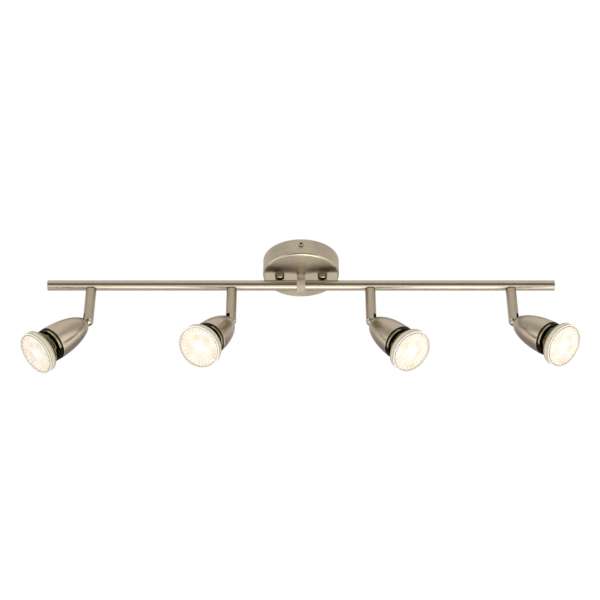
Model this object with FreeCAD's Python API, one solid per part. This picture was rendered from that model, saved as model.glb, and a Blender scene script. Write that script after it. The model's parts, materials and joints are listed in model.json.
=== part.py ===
import FreeCAD, Part
import math
import os
from FreeCAD import Placement, Rotation, Vector

# Ceiling spotlight bar: a round rose, one straight bar under it, and four heads on short stalks,
# each with a GU10 reflector lamp. Millimetres. The origin is in the middle of the ceiling plane,
# +Z points up, +X runs along the bar, and the whole fitting hangs below z = 0.
# Head parts are drawn in a head frame: pivot at the origin, lamp axis along +X, hinge pin along Y.

# Rose and the strap that carries it
ROSE_R = 44.4
ROSE_H = 21.5
ROSE_WALL = 1.0
ROSE_EDGE = 2.5
STRAP_LENGTH = 82.0
STRAP_WIDTH = 18.0
STRAP_WALL = 1.5
STRAP_DROP = 2.5
FOOT_LENGTH = 10.0
SLOT_SPACING = 72.0
SLOT_LENGTH = 8.0
SLOT_R = 2.25
CABLE_HOLE_R = 6.0
EAR_HALF = 4.0
EAR_TIP_Y = -43.1
EAR_LOW = -11.0
EAR_HIGH = -1.0
STUD_X = 25.0
STUD_R = 2.0
STUD_HEAD_R = 3.6
STUD_HEAD_H = 1.8
STUD_END_Z = -26.0
LOCK_NUT_ACROSS = 7.0
LOCK_NUT_H = 3.2
CAP_NUT_R = 5.5
CAP_NUT_H = 6.0
CAP_DOME = 2.0
HOLE_GAP = 0.2

# Screws
M3_R = 1.5
M3_SHORT = 3.5
PAN_HEAD_R = 2.75
PAN_HEAD_H = 2.0
SIDE_SCREW_Z = -7.8
SIDE_SHANK = 6.0
SIDE_HEAD_R = 3.0
SIDE_HEAD_H = 2.4
SOCKET_R = 1.2
SOCKET_DEPTH = 1.4

# Mains terminal block on the strap's side tab
TAB_X0 = -15.0
TAB_X1 = 21.0
TAB_Y1 = 26.0
POLE_PITCH = 9.4
POLE_WIDTH = 8.0
BLOCK_Y = 18.0
BLOCK_DEPTH = 14.0
BLOCK_HEIGHT = 10.0
BLOCK_WAIST = 2.0
POLE_WAY_R = 2.2
POLE_WAY_RISE = 5.0
CLAMP_R = 2.1
CLAMP_BORE_R = 1.4
CLAMP_HALF = 6.0
CLAMP_SCREW_Y = 3.5
CLAMP_SCREW_R = 1.5
CLAMP_SCREW_WAY_R = 1.7
LUG_X = 17.0
LUG_HALF = 4.0
LUG_END = 20.5
LUG_WALL = 2.0
EARTH_X = -15.0

# Bar and the post that hangs it
BAR_LENGTH = 590.0
BAR_R = 6.0
BAR_WALL = 1.0
BAR_Z = -34.35
CAP_WALL = 1.6
CAP_SPIGOT = 5.0
POST_R = 4.7
POST_NECK_R = 4.0
POST_TOP_Z = -13.5
RING_R = 7.5
RING_WIDTH = 9.9
WIRE_WAY_R = 2.4
POST_NUT_R = 7.2
POST_NUT_H = 5.0
WIRE_R = 0.7
WIRE_Z = -32.0

# Heads: place along the bar, pan about the stalk from -Y towards +X, tilt below level
HEAD_X = (-244.0, -80.5, 80.5, 244.0)
HEAD_PAN = (-64.0, -37.0, 52.0, 52.0)
HEAD_TILT = (46.5, 49.0, 49.0, 43.5)
PIVOT_DROP = 49.0
PIVOT_Z = BAR_Z - PIVOT_DROP

# Stalk, its pan bearing and its hinge
STALK_R = 6.0
STALK_BORE_R = 4.5
STALK_TOP = PIVOT_DROP - BAR_R - 0.3
STALK_LID = 2.0
NIPPLE_R = 3.0
RUNNING_GAP = 0.06
NIPPLE_BORE_R = 1.8
NIPPLE_HEAD_R = 3.8
PAN_NUT_R = 4.0
PAN_NUT_H = 2.5
FACE_GAP = 0.3
SLOT_HALF = 2.5
SLOT_TOP = 6.5
SLOT_BACK = 4.9
PIN_R = 1.5
PIN_HEAD_R = 2.5
PIN_SEAT = 4.6
PIN_HEAD_H = 2.4
PIN_HEAD_ROUND = 1.4
PIN_TAIL_R = 2.1
PIN_TAIL_H = 1.2
TONGUE_HALF = 2.2
TONGUE_R = 4.6
TONGUE_ARM = 3.6

# Head shell: an ellipse about the lamp axis, cut flat at the back
SHELL_BACK = 7.0
SHELL_FRONT = 56.0
SHELL_R = 19.5
SHELL_SWEEP = 53.5
SHELL_WALL = 1.0
SHELL_CORNER = 1.2
SPIGOT_R = 3.0
SHOULDER_R = 5.5
SHOULDER_X = 6.3
FLANGE_R = 7.2
FLANGE_X1 = 10.0
LEAD_WAY_R = 1.5
HOLDER_SCREW_Y = 5.5

# Black front collar with an open window at each side
COLLAR_X0 = 50.0
COLLAR_X1 = 60.0
COLLAR_IN = 17.2
COLLAR_OUT = 18.2
TAB_IN = 18.0
TAB_OUT = 19.4
TAB_END = 63.6
WINDOW_ANGLE = 88.0

# GU10 lampholder and lamp
HOLDER_R = 11.3
HOLDER_NECK_R = 6.8
HOLDER_NECK_END = 15.0
HOLDER_BODY_START = 17.0
HOLDER_FACE = 33.9
HOLDER_CHAMFER = 0.6
HOLDER_SCREW_SEAT = 24.0
HOLDER_SCREW_HEAD_R = 2.6
HOLDER_SCREW_HEAD_H = 2.2
PIN_CIRCLE_R = 5.0
LAMP_PIN_R = 1.6
LAMP_PIN_HEAD_R = 2.5
LAMP_PIN_END = 27.2
LAMP_PIN_HEAD_X = 29.7
KEY_GAP = 0.3
TWIST = 20.0
BASE_X0 = 34.2
BASE_X1 = 49.0
BASE_R = 11.6
BASE_TOE_R = 9.0
BASE_HEEL_X = 36.0
BASE_HEEL_R = 10.0
BASE_WIDE_X = 44.0
GLASS_WALL = 1.2
FLARE_X1 = 71.0
FLARE_R = 22.3
FLARE_BULGE = 1.3
GROOVE_R = 21.3
RIM_X0 = 73.5
RIM_X1 = 81.0
RIM_BACK_R = 24.6
RIM_R = 25.1
LENS_X0 = 79.6
LENS_R = 23.6
LENS_DOME = 0.5
LEDGE_R = 22.4
INNER_BULGE = 0.9

X_AXIS = Vector(1, 0, 0)
Y_AXIS = Vector(0, 1, 0)
Z_AXIS = Vector(0, 0, 1)


def save(shape, name):
    """Write one node as a STEP file."""
    shape.exportStep("parts/%s.step" % name)


def box(x0, x1, y0, y1, z0, z1):
    """Block between two corners."""
    return Part.makeBox(x1 - x0, y1 - y0, z1 - z0, Vector(x0, y0, z0))


def rod(radius, start, end):
    """Solid cylinder from one point to another."""
    start = Vector(*start)
    along = Vector(*end) - start
    return Part.makeCylinder(radius, along.Length, start, along)


def turned(points, axis=X_AXIS):
    """Solid of revolution about an axis through the origin; points are (along, radius)."""
    if axis == X_AXIS:
        outline = [Vector(along, radius, 0) for along, radius in points]
    else:
        outline = [Vector(radius, 0, along) for along, radius in points]
    wire = Part.makePolygon(outline + outline[:1])
    return Part.Face(wire).revolve(Vector(0, 0, 0), axis, 360)


def hexagon(across, height, centre):
    """Hexagonal prism standing on centre; across is the distance over the flats."""
    corner = across / math.sqrt(3.0)
    points = []
    for step in range(7):
        angle = math.radians(60.0 * step)
        points.append(Vector(*centre) + Vector(corner * math.cos(angle), corner * math.sin(angle), 0))
    return Part.Face(Part.makePolygon(points)).extrude(Vector(0, 0, height))


def slotted_hole(x, length, radius, z0, z1):
    """Cutter for a slot along X."""
    half = length / 2.0 - radius
    middle = box(x - half, x + half, -radius, radius, z0, z1)
    ends = [rod(radius, (x + side * half, 0, z0), (x + side * half, 0, z1)) for side in (-1, 1)]
    return middle.fuse(ends)


# ---------------------------------------------------------------- rose

def ceiling_bracket():
    """Raised strap with two slotted feet, a side tab for the terminals and an ear for the side screw."""
    half = STRAP_LENGTH / 2.0
    width = STRAP_WIDTH / 2.0
    low = -STRAP_DROP - STRAP_WALL
    inner = half - FOOT_LENGTH
    strap = box(-inner, inner, -width, width, low, -STRAP_DROP)
    for side in (-1, 1):
        x0, x1 = sorted((side * inner, side * half))
        riser = sorted((side * inner, side * (inner - STRAP_WALL)))
        strap = strap.fuse(box(x0, x1, -width, width, -STRAP_WALL, 0))
        strap = strap.fuse(box(riser[0], riser[1], -width, width, low, 0))
    strap = strap.fuse(box(TAB_X0, TAB_X1, width - 1, TAB_Y1, low, -STRAP_DROP))
    strap = strap.fuse(box(-EAR_HALF, EAR_HALF, EAR_TIP_Y, -width + 1, low, -STRAP_DROP))
    strap = strap.fuse(box(-EAR_HALF, EAR_HALF, EAR_TIP_Y, EAR_TIP_Y + STRAP_WALL, EAR_LOW, EAR_HIGH))
    strap = strap.removeSplitter()
    cutters = [rod(CABLE_HOLE_R, (0, 0, -9), (0, 0, 1))]
    cutters.append(rod(M3_R, (0, EAR_TIP_Y - 1, SIDE_SCREW_Z), (0, EAR_TIP_Y + 3, SIDE_SCREW_Z)))
    cutters.append(rod(M3_R, (LUG_X, BLOCK_Y, -9), (LUG_X, BLOCK_Y, 1)))
    cutters.append(rod(M3_R, (EARTH_X, 0, -9), (EARTH_X, 0, 1)))
    for side in (-1, 1):
        cutters.append(slotted_hole(side * SLOT_SPACING / 2.0, SLOT_LENGTH, SLOT_R, -2, 1))
        cutters.append(rod(STUD_R, (side * STUD_X, 0, -9), (side * STUD_X, 0, 1)))
    return strap.cut(cutters)


def bracket_studs():
    """Two M4 screws hung through the strap, heads towards the ceiling."""
    studs = []
    for side in (-1, 1):
        x = side * STUD_X
        shank = rod(STUD_R, (x, 0, -STRAP_DROP), (x, 0, STUD_END_Z))
        head = rod(STUD_HEAD_R, (x, 0, -STRAP_DROP), (x, 0, -STRAP_DROP + STUD_HEAD_H))
        studs.append(shank.fuse(head))
    return Part.makeCompound(studs)


def bracket_nuts():
    """Hexagon nuts that lock the studs to the strap."""
    top = -STRAP_DROP - STRAP_WALL
    nuts = []
    for side in (-1, 1):
        x = side * STUD_X
        nut = hexagon(LOCK_NUT_ACROSS, LOCK_NUT_H, (x, 0, top - LOCK_NUT_H))
        nuts.append(nut.cut(rod(STUD_R, (x, 0, top - 4), (x, 0, top + 1))))
    return Part.makeCompound(nuts)


def rose_cover():
    """Spun cup, open towards the ceiling, with a rounded lower edge."""
    outer = rod(ROSE_R, (0, 0, -ROSE_H), (0, 0, 0))
    rim = [edge for edge in outer.Edges if abs(edge.BoundBox.ZMax + ROSE_H) < 0.01]
    outer = outer.makeFillet(ROSE_EDGE, rim)
    inner = rod(ROSE_R - ROSE_WALL, (0, 0, -ROSE_H + ROSE_WALL), (0, 0, 1))
    rim = [edge for edge in inner.Edges if abs(edge.BoundBox.ZMax + ROSE_H - ROSE_WALL) < 0.01]
    inner = inner.makeFillet(ROSE_EDGE - ROSE_WALL, rim)
    cup = outer.cut(inner)
    holes = [rod(POST_NECK_R, (0, 0, -ROSE_H - 1), (0, 0, -ROSE_H + 3))]
    holes.append(rod(M3_R + HOLE_GAP, (0, -ROSE_R - 1, SIDE_SCREW_Z), (0, -ROSE_R + 4, SIDE_SCREW_Z)))
    for side in (-1, 1):
        x = side * STUD_X
        holes.append(rod(STUD_R + HOLE_GAP, (x, 0, -ROSE_H - 1), (x, 0, -ROSE_H + 3)))
    return cup.cut(holes)


def cap_nuts():
    """Two round domed nuts that hold the rose up against the ceiling."""
    nuts = []
    straight = CAP_NUT_H - CAP_DOME
    dome_r = (CAP_NUT_R ** 2 + CAP_DOME ** 2) / (2.0 * CAP_DOME)
    for side in (-1, 1):
        x = side * STUD_X
        body = rod(CAP_NUT_R, (x, 0, -ROSE_H), (x, 0, -ROSE_H - CAP_NUT_H))
        ball = Part.makeSphere(dome_r, Vector(x, 0, -ROSE_H - CAP_NUT_H + dome_r))
        upper = rod(CAP_NUT_R, (x, 0, -ROSE_H), (x, 0, -ROSE_H - straight))
        nut = upper.fuse(body.common(ball)).removeSplitter()
        nuts.append(nut.cut(rod(STUD_R, (x, 0, -ROSE_H + 1), (x, 0, STUD_END_Z))))
    return Part.makeCompound(nuts)


def side_screw():
    """Small socket screw through the rose's wall into the strap's ear."""
    seat = -ROSE_R
    face = seat - SIDE_HEAD_H
    shank = rod(M3_R, (0, seat, SIDE_SCREW_Z), (0, seat + SIDE_SHANK, SIDE_SCREW_Z))
    head = rod(SIDE_HEAD_R, (0, face, SIDE_SCREW_Z), (0, seat, SIDE_SCREW_Z))
    socket = rod(SOCKET_R, (0, face, SIDE_SCREW_Z), (0, face + SOCKET_DEPTH, SIDE_SCREW_Z))
    return shank.fuse(head).cut(socket)


def pole_places():
    """X of each terminal pole."""
    return [step * POLE_PITCH for step in (-1, 0, 1)]


def terminal_block():
    """Three-pole terminal block with a fixing lug."""
    top = -STRAP_DROP - STRAP_WALL
    low = top - BLOCK_HEIGHT
    y0 = BLOCK_Y - BLOCK_DEPTH / 2.0
    y1 = BLOCK_Y + BLOCK_DEPTH / 2.0
    waist = BLOCK_WAIST
    block = box(-POLE_PITCH, POLE_PITCH, y0 + waist, y1 - waist, low + waist, top)
    block = block.fuse(box(POLE_PITCH, LUG_END, BLOCK_Y - LUG_HALF, BLOCK_Y + LUG_HALF, top - LUG_WALL, top))
    cutters = [rod(M3_R, (LUG_X, BLOCK_Y, low), (LUG_X, BLOCK_Y, top + 1))]
    for x in pole_places():
        block = block.fuse(box(x - POLE_WIDTH / 2.0, x + POLE_WIDTH / 2.0, y0, y1, low, top))
        middle = low + POLE_WAY_RISE
        cutters.append(rod(POLE_WAY_R, (x, y0 - 1, middle), (x, y1 + 1, middle)))
        for side in (-1, 1):
            y = BLOCK_Y + side * CLAMP_SCREW_Y
            cutters.append(rod(CLAMP_SCREW_WAY_R, (x, y, low - 1), (x, y, middle)))
    return block.removeSplitter().cut(cutters)


def terminal_clamps():
    """Brass tube with two clamp screws for each pole."""
    middle = -STRAP_DROP - STRAP_WALL - BLOCK_HEIGHT + POLE_WAY_RISE
    clamps = []
    for x in pole_places():
        start = BLOCK_Y - CLAMP_HALF
        end = BLOCK_Y + CLAMP_HALF
        clamp = rod(CLAMP_R, (x, start, middle), (x, end, middle))
        clamp = clamp.cut(rod(CLAMP_BORE_R, (x, start - 1, middle), (x, end + 1, middle)))
        for side in (-1, 1):
            y = BLOCK_Y + side * CLAMP_SCREW_Y
            clamp = clamp.fuse(rod(CLAMP_SCREW_R, (x, y, middle - 2 * CLAMP_R), (x, y, middle - 1.2)))
        clamps.append(clamp)
    return Part.makeCompound(clamps)


def bracket_screws():
    """Two like M3 screws: one holds the terminal block, one is the earth point."""
    low = -STRAP_DROP - STRAP_WALL
    screws = []
    for x, y, seat in ((LUG_X, BLOCK_Y, low - LUG_WALL), (EARTH_X, 0, low)):
        shank = rod(M3_R, (x, y, seat), (x, y, seat + M3_SHORT))
        screws.append(shank.fuse(rod(PAN_HEAD_R, (x, y, seat - PAN_HEAD_H), (x, y, seat))))
    return Part.makeCompound(screws)


# ---------------------------------------------------------------- bar

def bar_post():
    """Stem from the rose to a ring round the bar, hollow for the wires."""
    neck = rod(POST_NECK_R, (0, 0, POST_TOP_Z), (0, 0, -ROSE_H))
    stem = rod(POST_R, (0, 0, -ROSE_H), (0, 0, BAR_Z))
    ring = rod(RING_R, (-RING_WIDTH / 2.0, 0, BAR_Z), (RING_WIDTH / 2.0, 0, BAR_Z))
    round_edges = [edge for edge in ring.Edges if len(edge.Vertexes) == 1]
    ring = ring.makeFillet(0.5, round_edges)
    post = neck.fuse([stem, ring]).removeSplitter()
    bar_way = rod(BAR_R + 0.03, (-RING_WIDTH, 0, BAR_Z), (RING_WIDTH, 0, BAR_Z))
    wire_way = rod(WIRE_WAY_R, (0, 0, POST_TOP_Z + 1), (0, 0, BAR_Z))
    return post.cut([bar_way, wire_way])


def post_nut():
    """Hexagon nut that clamps the post inside the rose."""
    seat = -ROSE_H + ROSE_WALL
    nut = hexagon(2 * POST_NUT_R * math.cos(math.radians(30)), POST_NUT_H, (0, 0, seat))
    return nut.cut(rod(POST_NECK_R, (0, 0, seat - 1), (0, 0, seat + POST_NUT_H + 1)))


def bar_tube():
    """Round tube with the wire hole on top and one nipple hole under each head."""
    half = BAR_LENGTH / 2.0 - CAP_WALL
    tube = rod(BAR_R, (-half, 0, BAR_Z), (half, 0, BAR_Z))
    holes = [rod(BAR_R - BAR_WALL, (-half - 1, 0, BAR_Z), (half + 1, 0, BAR_Z))]
    holes.append(rod(WIRE_WAY_R, (0, 0, BAR_Z), (0, 0, BAR_Z + BAR_R + 1)))
    for x in HEAD_X:
        holes.append(rod(NIPPLE_R, (x, 0, BAR_Z), (x, 0, BAR_Z - BAR_R - 1)))
    return tube.cut(holes)


def end_caps():
    """Flat plug pressed into each end of the bar."""
    caps = []
    for side in (-1, 1):
        outer = side * BAR_LENGTH / 2.0
        inner = outer - side * CAP_WALL
        disc = rod(BAR_R, (inner, 0, BAR_Z), (outer, 0, BAR_Z))
        rim = [edge for edge in disc.Edges if abs(edge.BoundBox.Center.x - outer) < 0.01]
        disc = disc.makeFillet(0.4, rim)
        spigot = rod(BAR_R - BAR_WALL - 0.02, (inner, 0, BAR_Z), (inner - side * CAP_SPIGOT, 0, BAR_Z))
        caps.append(disc.fuse(spigot))
    return Part.makeCompound(caps)


def trunk_wires():
    """Live, neutral and earth: up the post and along the bar."""
    reach = HEAD_X[3] - 6.0
    wires = []
    for x, y in ((0.5, -1.5), (-1.5, 0.0), (0.5, 1.5)):
        along = rod(WIRE_R, (-reach, y, WIRE_Z), (reach, y, WIRE_Z))
        wires.append(along.fuse(rod(WIRE_R, (x, y, WIRE_Z), (x, y, POST_TOP_Z + 3))))
    return Part.makeCompound(wires)


def pan_nipples():
    """Hollow nipples hung through the bar's underside; each stalk turns on one."""
    seat = BAR_Z - math.sqrt((BAR_R - BAR_WALL) ** 2 - NIPPLE_HEAD_R ** 2) + 0.05
    lid_under = PIVOT_Z + STALK_TOP - STALK_LID
    low = lid_under - FACE_GAP - PAN_NUT_H - 1.0
    nipples = []
    for x in HEAD_X:
        shank = rod(NIPPLE_R, (x, 0, seat), (x, 0, low))
        head = rod(NIPPLE_HEAD_R, (x, 0, seat), (x, 0, seat + 1.0))
        nipples.append(shank.fuse(head).cut(rod(NIPPLE_BORE_R, (x, 0, low - 1), (x, 0, seat + 2))))
    return Part.makeCompound(nipples)


def pan_nuts():
    """Round nuts on the nipples that carry the stalks."""
    top = PIVOT_Z + STALK_TOP - STALK_LID - FACE_GAP
    nuts = []
    for x in HEAD_X:
        nut = rod(PAN_NUT_R, (x, 0, top), (x, 0, top - PAN_NUT_H))
        nuts.append(nut.cut(rod(NIPPLE_R, (x, 0, top + 1), (x, 0, top - PAN_NUT_H - 1))))
    return Part.makeCompound(nuts)


# ---------------------------------------------------------------- stalk, in the head frame before tilt

def stalk():
    """Tube with a lid for the pan bearing and a slotted round end for the hinge."""
    body = rod(STALK_R, (0, 0, 0), (0, 0, STALK_TOP)).fuse(Part.makeSphere(STALK_R)).removeSplitter()
    cutters = [rod(STALK_BORE_R, (0, 0, SLOT_TOP - 0.1), (0, 0, STALK_TOP - STALK_LID))]
    cutters.append(rod(NIPPLE_R + RUNNING_GAP, (0, 0, STALK_TOP - STALK_LID - 1), (0, 0, STALK_TOP + 1)))
    cutters.append(rod(SLOT_BACK, (0, -SLOT_HALF, 0), (0, SLOT_HALF, 0)))
    cutters.append(box(0, 8, -SLOT_HALF, SLOT_HALF, -8, SLOT_TOP))
    cutters.append(box(-TONGUE_ARM - 0.4, 8, -SLOT_HALF, SLOT_HALF, -8, 0))
    cutters.append(rod(PIN_R, (0, -8, 0), (0, 8, 0)))
    for side in (-1, 1):
        cutters.append(rod(PIN_HEAD_R + 0.2, (0, side * PIN_SEAT, 0), (0, side * 8, 0)))
    return body.cut(cutters)


def hinge_pin(side):
    """Domed rivet across the slot, with its large head on the given side."""
    tail_end = -side * (PIN_SEAT + PIN_TAIL_H)
    shank = rod(PIN_R, (0, tail_end, 0), (0, side * PIN_SEAT, 0))
    tail = rod(PIN_TAIL_R, (0, -side * PIN_SEAT, 0), (0, tail_end, 0))
    head = rod(PIN_HEAD_R, (0, side * PIN_SEAT, 0), (0, side * (PIN_SEAT + PIN_HEAD_H), 0))
    tip = [edge for edge in head.Edges if abs(edge.BoundBox.Center.y) > PIN_SEAT + PIN_HEAD_H - 0.1]
    head = head.makeFillet(PIN_HEAD_ROUND, tip)
    return shank.fuse([tail, head]).removeSplitter()


# ---------------------------------------------------------------- head

def knuckle():
    """Tongue in the stalk's slot, riveted through the shell's back, with a flange for the holder."""
    turned_part = turned([(SHOULDER_X, 0), (SHOULDER_X, SHOULDER_R), (SHELL_BACK, SHOULDER_R),
                          (SHELL_BACK, SPIGOT_R), (SHELL_BACK + SHELL_WALL, SPIGOT_R),
                          (SHELL_BACK + SHELL_WALL, FLANGE_R), (FLANGE_X1, FLANGE_R), (FLANGE_X1, 0)])
    eye = rod(TONGUE_R, (0, -TONGUE_HALF, 0), (0, TONGUE_HALF, 0))
    arm = box(0, SHOULDER_X + 0.2, -TONGUE_HALF, TONGUE_HALF, -TONGUE_ARM, TONGUE_ARM)
    body = turned_part.fuse([eye, arm]).removeSplitter()
    cutters = [rod(PIN_R + RUNNING_GAP, (0, -4, 0), (0, 4, 0))]
    cutters.append(rod(LEAD_WAY_R, (TONGUE_R - 1, 0, 0), (FLANGE_X1 + 1, 0, 0)))
    for side in (-1, 1):
        y = side * HOLDER_SCREW_Y
        cutters.append(rod(M3_R, (SHELL_BACK + SHELL_WALL, y, 0), (FLANGE_X1 + 1, y, 0)))
    return body.cut(cutters)


def half_ellipse_solid(length, radius, back):
    """Half ellipsoid ending at SHELL_FRONT, cut flat at its back."""
    def height(x):
        return radius * math.sqrt(1.0 - ((SHELL_FRONT - x) / length) ** 2)
    ellipse = Part.Ellipse(Vector(SHELL_FRONT, 0, 0), length, radius)
    first = ellipse.parameter(Vector(SHELL_FRONT, radius, 0))
    last = ellipse.parameter(Vector(back, height(back), 0))
    curve = ellipse.toShape(min(first, last), max(first, last))
    corners = [Vector(back, height(back), 0), Vector(back, 0, 0)]
    corners += [Vector(SHELL_FRONT, 0, 0), Vector(SHELL_FRONT, radius, 0)]
    wire = Part.Wire([curve] + [Part.makeLine(corners[i], corners[i + 1]) for i in range(3)])
    return Part.Face(wire).revolve(Vector(0, 0, 0), X_AXIS, 360)


def head_shell():
    """Bullet-shaped shell, open at the front."""
    outer = half_ellipse_solid(SHELL_SWEEP, SHELL_R, SHELL_BACK)
    rim = [edge for edge in outer.Edges
           if abs(edge.BoundBox.XMax - SHELL_BACK) < 0.01 and edge.BoundBox.YLength > 1]
    outer = outer.makeFillet(SHELL_CORNER, rim)
    inner = half_ellipse_solid(SHELL_SWEEP - SHELL_WALL, SHELL_R - SHELL_WALL, SHELL_BACK + SHELL_WALL)
    hole = rod(SPIGOT_R, (SHELL_BACK - 1, 0, 0), (SHELL_BACK + 3, 0, 0))
    return outer.cut([inner, hole])


def sector(angle, reach, x0, x1):
    """Wedge about the lamp axis, centred on +Y and -Y."""
    half = math.radians(angle / 2.0)
    far = reach * math.tan(half)
    points = [Vector(x0, 0, 0), Vector(x0, reach, far), Vector(x0, reach, -far), Vector(x0, 0, 0)]
    wedge = Part.Face(Part.makePolygon(points)).extrude(Vector(x1 - x0, 0, 0))
    other = wedge.copy()
    other.rotate(Vector(0, 0, 0), X_AXIS, 180)
    return [wedge, other]


def front_collar():
    """Ring inside the shell's mouth with an upper and a lower tab, open at both sides."""
    ring = turned([(COLLAR_X0, COLLAR_IN), (COLLAR_X0, COLLAR_OUT), (COLLAR_X1, COLLAR_OUT),
                   (COLLAR_X1, COLLAR_IN)])
    tabs = turned([(SHELL_FRONT, TAB_IN), (SHELL_FRONT, TAB_OUT), (TAB_END, TAB_OUT - 0.3),
                   (TAB_END, TAB_IN + 0.2)])
    tabs = tabs.cut(sector(WINDOW_ANGLE, 30.0, SHELL_FRONT - 1, TAB_END + 1))
    return ring.fuse(tabs).removeSplitter()


def key_slot(radius, x0, x1):
    """Cutter for one round path of a lamp pin from unlocked to locked, and its twin."""
    inner = rod(PIN_CIRCLE_R - radius, (x0, 0, 0), (x1, 0, 0))
    track = rod(PIN_CIRCLE_R + radius, (x0, 0, 0), (x1, 0, 0)).cut(inner)
    start = Vector(x0, 0, 0)
    edge = Vector(x0, 0, 20)
    far = Vector(x0, -20 * math.sin(math.radians(TWIST)), 20 * math.cos(math.radians(TWIST)))
    wedge = Part.Face(Part.makePolygon([start, edge, far, start])).extrude(Vector(x1 - x0, 0, 0))
    path = track.common(wedge)
    for angle in (0.0, TWIST):
        y = -PIN_CIRCLE_R * math.sin(math.radians(angle))
        z = PIN_CIRCLE_R * math.cos(math.radians(angle))
        path = path.fuse(rod(radius, (x0, y, z), (x1, y, z)))
    twin = path.copy()
    twin.rotate(Vector(0, 0, 0), X_AXIS, 180)
    return [path, twin]


def lampholder():
    """Ceramic GU10 holder with two bayonet keyways."""
    body = turned([(FLANGE_X1, 0), (FLANGE_X1, HOLDER_NECK_R), (HOLDER_NECK_END, HOLDER_NECK_R),
                   (HOLDER_BODY_START, HOLDER_R), (HOLDER_FACE - HOLDER_CHAMFER, HOLDER_R),
                   (HOLDER_FACE, HOLDER_R - HOLDER_CHAMFER), (HOLDER_FACE, 0)])
    cutters = key_slot(LAMP_PIN_HEAD_R + KEY_GAP, LAMP_PIN_END - 0.6, LAMP_PIN_HEAD_X + 0.5)
    cutters += key_slot(LAMP_PIN_R + KEY_GAP, LAMP_PIN_HEAD_X, HOLDER_FACE + 1)
    entry_y = PIN_CIRCLE_R * math.sin(math.radians(TWIST))
    entry_z = PIN_CIRCLE_R * math.cos(math.radians(TWIST))
    for side in (-1, 1):
        y = side * HOLDER_SCREW_Y
        cutters.append(rod(M3_R, (FLANGE_X1 - 1, y, 0), (HOLDER_FACE + 1, y, 0)))
        head_way = HOLDER_SCREW_HEAD_R + KEY_GAP
        cutters.append(rod(head_way, (HOLDER_SCREW_SEAT, y, 0), (HOLDER_FACE + 1, y, 0)))
        cutters.append(rod(LAMP_PIN_HEAD_R + KEY_GAP, (LAMP_PIN_END, -side * entry_y, side * entry_z),
                           (HOLDER_FACE + 1, -side * entry_y, side * entry_z)))
    return body.cut(cutters)


def holder_screws():
    """Two M3 screws that pull the holder back onto the knuckle's flange."""
    screws = []
    for side in (-1, 1):
        y = side * HOLDER_SCREW_Y
        seat = HOLDER_SCREW_SEAT
        shank = rod(M3_R, (SHELL_BACK + SHELL_WALL + 0.3, y, 0), (seat, y, 0))
        screws.append(shank.fuse(rod(HOLDER_SCREW_HEAD_R, (seat, y, 0), (seat + HOLDER_SCREW_HEAD_H, y, 0))))
    return Part.makeCompound(screws)


# ---------------------------------------------------------------- lamp

def lamp_base():
    """Moulded base between the pins and the glass."""
    return turned([(BASE_X0, 0), (BASE_X0, BASE_TOE_R), (BASE_HEEL_X, BASE_HEEL_R), (BASE_WIDE_X, BASE_R),
                   (BASE_X1, BASE_R), (BASE_X1, 0)])


def lamp_pins():
    """The two headed contact pins."""
    pins = []
    for side in (-1, 1):
        z = side * PIN_CIRCLE_R
        neck = rod(LAMP_PIN_R, (LAMP_PIN_HEAD_X, 0, z), (BASE_X0, 0, z))
        pins.append(neck.fuse(rod(LAMP_PIN_HEAD_R, (LAMP_PIN_END, 0, z), (LAMP_PIN_HEAD_X, 0, z))))
    return Part.makeCompound(pins)


def bowed(start, end, bulge):
    """Arc between two points (along, radius) that bows towards the lamp axis by the bulge."""
    middle = Vector((start[0] + end[0]) / 2.0, (start[1] + end[1]) / 2.0 - bulge, 0)
    return Part.Arc(Vector(*start, 0), middle, Vector(*end, 0)).toShape()


def lamp_glass():
    """Flared glass body, then a shadow groove and a deep rim with a ledge for the front lens."""
    outer = bowed((BASE_X1, BASE_R), (FLARE_X1, FLARE_R), FLARE_BULGE)
    inner = bowed((LENS_X0, LEDGE_R), (BASE_X1, BASE_R - GLASS_WALL), INNER_BULGE)
    corners = [(FLARE_X1, FLARE_R), (FLARE_X1, GROOVE_R), (RIM_X0, GROOVE_R), (RIM_X0, RIM_BACK_R),
               (RIM_X1, RIM_R), (RIM_X1, LENS_R), (LENS_X0, LENS_R), (LENS_X0, LEDGE_R)]
    points = [Vector(*corner, 0) for corner in corners]
    edges = [outer] + [Part.makeLine(first, second) for first, second in zip(points, points[1:])]
    edges += [inner, Part.makeLine(Vector(BASE_X1, BASE_R - GLASS_WALL, 0), Vector(BASE_X1, BASE_R, 0))]
    return Part.Face(Part.Wire(edges)).revolve(Vector(0, 0, 0), X_AXIS, 360)


def lamp_lens():
    """Front glass, very slightly domed, flush with the rim."""
    tip = RIM_X1 + LENS_DOME
    disc = rod(LENS_R, (LENS_X0, 0, 0), (tip, 0, 0))
    radius = (LENS_R ** 2 + LENS_DOME ** 2) / (2.0 * LENS_DOME)
    return disc.common(Part.makeSphere(radius, Vector(tip - radius, 0, 0)))


# ---------------------------------------------------------------- assembly

def place(shape, number, tilted):
    """Carry a part from the head frame to its place under the bar."""
    turn = Rotation(Z_AXIS, HEAD_PAN[number] - 90.0)
    if tilted:
        turn = turn.multiply(Rotation(Y_AXIS, HEAD_TILT[number]))
    moved = shape.copy()
    moved.Placement = Placement(Vector(HEAD_X[number], 0, PIVOT_Z), turn)
    return moved


def build_fixed():
    """Everything that stays with the ceiling."""
    for part in (ceiling_bracket, bracket_studs, bracket_nuts, rose_cover, cap_nuts, side_screw,
                 terminal_block, terminal_clamps, bracket_screws, bar_post, post_nut, bar_tube,
                 end_caps, trunk_wires, pan_nipples, pan_nuts):
        save(part(), part.__name__)


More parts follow.
